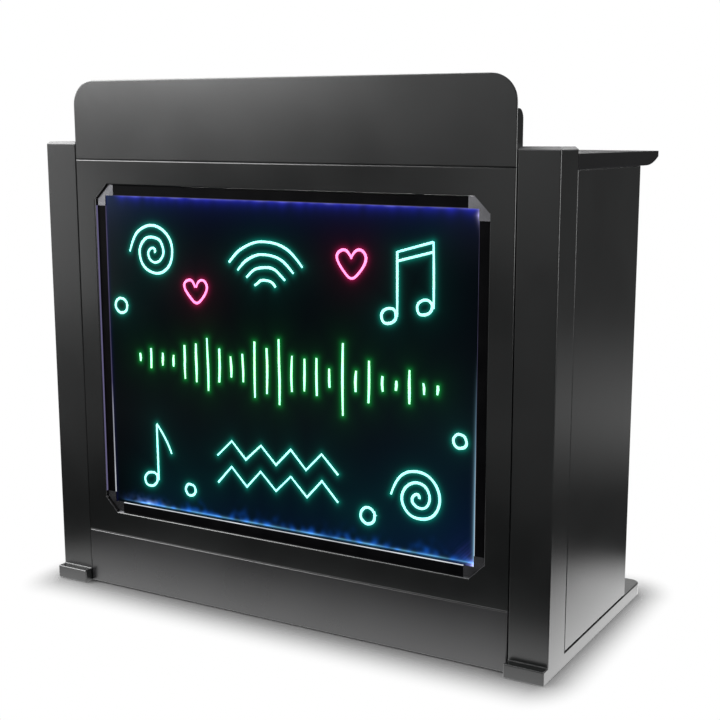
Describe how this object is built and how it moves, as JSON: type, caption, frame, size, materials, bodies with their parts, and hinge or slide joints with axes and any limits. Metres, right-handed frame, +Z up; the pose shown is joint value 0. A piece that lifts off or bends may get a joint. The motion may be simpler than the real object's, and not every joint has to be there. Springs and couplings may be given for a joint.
{
  "type": "dj booth",
  "caption": "Free-standing black sheet-steel dj booth with a tabletop, a raised header and an edge-lit writing board set in the window of its front.",
  "frame": {"origin": "on the floor, under the middle of the booth's bounding box", "axes": "+X to the right as the audience sees the booth, +Y from the audience towards the dj, +Z up"},
  "size_m": [1.16, 0.55, 1.08],
  "materials": {
    "black_steel": "semi-gloss black powder coat",
    "black_laminate": "black laminated board, satin",
    "black_rail": "black anodised",
    "grey_plastic": "satin dark grey",
    "dark_acrylic": "clear acrylic over a black backing",
    "black_board": "black foam board",
    "led_tape": "lit led tape",
    "rubber": "matt",
    "zinc_steel": "zinc plated",
    "black_plastic": "moulded, fine texture",
    "circuit_green": "circuit board",
    "button_grey": "satin"
  },
  "bodies": {
    "booth": {"left_side_frame": "black_steel", "left_side_panel": "black_steel", "right_side_frame": "black_steel", "right_side_panel": "black_steel", "kick_panel": "black_steel", "front_frame_panel": "black_steel", "header_panel": "black_steel", "front_table_rail": "black_steel", "rear_table_rail": "black_steel", "left_seat_strip": "rubber", "left_foot_pads": "rubber", "right_seat_strip": "rubber", "right_foot_pads": "rubber", "corner_pads": "rubber", "tabletop": "black_laminate", "board_top_rail": "black_rail", "board_bottom_rail": "black_rail", "board_left_rail": "black_rail", "board_right_rail": "black_rail", "board_corner_top_left": "grey_plastic", "board_corner_top_right": "grey_plastic", "board_corner_bottom_left": "grey_plastic", "board_corner_bottom_right": "grey_plastic", "light_sheet": "dark_acrylic", "backing_sheet": "black_board", "led_tape_top": "led_tape", "led_tape_bottom": "led_tape", "led_tape_left": "led_tape", "led_tape_right": "led_tape", "clip_screws": "zinc_steel", "case_screws": "zinc_steel", "left_rivet_nuts": "zinc_steel", "left_side_screws": "zinc_steel", "left_panel_bolts": "zinc_steel", "right_rivet_nuts": "zinc_steel", "right_side_screws": "zinc_steel", "right_panel_bolts": "zinc_steel", "table_screws": "zinc_steel", "kick_bolts": "zinc_steel", "kick_nuts": "zinc_steel", "header_bolts": "zinc_steel", "header_nuts": "zinc_steel", "left_post_cap": "black_plastic", "right_post_cap": "black_plastic", "controller_case": "black_plastic", "dc_socket": "black_plastic", "controller_lead": "black_plastic", "controller_circuit": "circuit_green"},
    "clip_top_left": {"turn_clip_top_left": "zinc_steel"},
    "clip_top_middle": {"turn_clip_top_middle": "zinc_steel"},
    "clip_top_right": {"turn_clip_top_right": "zinc_steel"},
    "clip_bottom_left": {"turn_clip_bottom_left": "zinc_steel"},
    "clip_bottom_middle": {"turn_clip_bottom_middle": "zinc_steel"},
    "clip_bottom_right": {"turn_clip_bottom_right": "zinc_steel"},
    "power_button": {"button_power": "button_grey"},
    "mode_button": {"button_mode": "button_grey"},
    "dimmer_button": {"button_dimmer": "button_grey"}
  },
  "joints": [
    {"name": "turn_top_left", "type": "hinge", "parent": "booth", "child": "clip_top_left", "pos_m": [-0.3, -0.2352, 0.878], "axis": [0, 1, 0], "continuous": true},
    {"name": "turn_top_middle", "type": "hinge", "parent": "booth", "child": "clip_top_middle", "pos_m": [0, -0.2352, 0.878], "axis": [0, 1, 0], "continuous": true},
    {"name": "turn_top_right", "type": "hinge", "parent": "booth", "child": "clip_top_right", "pos_m": [0.3, -0.2352, 0.878], "axis": [0, 1, 0], "continuous": true},
    {"name": "turn_bottom_left", "type": "hinge", "parent": "booth", "child": "clip_bottom_left", "pos_m": [-0.3, -0.2352, 0.162], "axis": [0, 1, 0], "continuous": true},
    {"name": "turn_bottom_middle", "type": "hinge", "parent": "booth", "child": "clip_bottom_middle", "pos_m": [0, -0.2352, 0.162], "axis": [0, 1, 0], "continuous": true},
    {"name": "turn_bottom_right", "type": "hinge", "parent": "booth", "child": "clip_bottom_right", "pos_m": [0.3, -0.2352, 0.162], "axis": [0, 1, 0], "continuous": true},
    {"name": "press_power", "type": "slide", "parent": "booth", "child": "power_button", "axis": [0, -1, 0], "range_m": [0, 0.0012], "stiffness_N_per_m": 800},
    {"name": "press_mode", "type": "slide", "parent": "booth", "child": "mode_button", "axis": [0, -1, 0], "range_m": [0, 0.0012], "stiffness_N_per_m": 800},
    {"name": "press_dimmer", "type": "slide", "parent": "booth", "child": "dimmer_button", "axis": [0, -1, 0], "range_m": [0, 0.0012], "stiffness_N_per_m": 800}
  ]
}
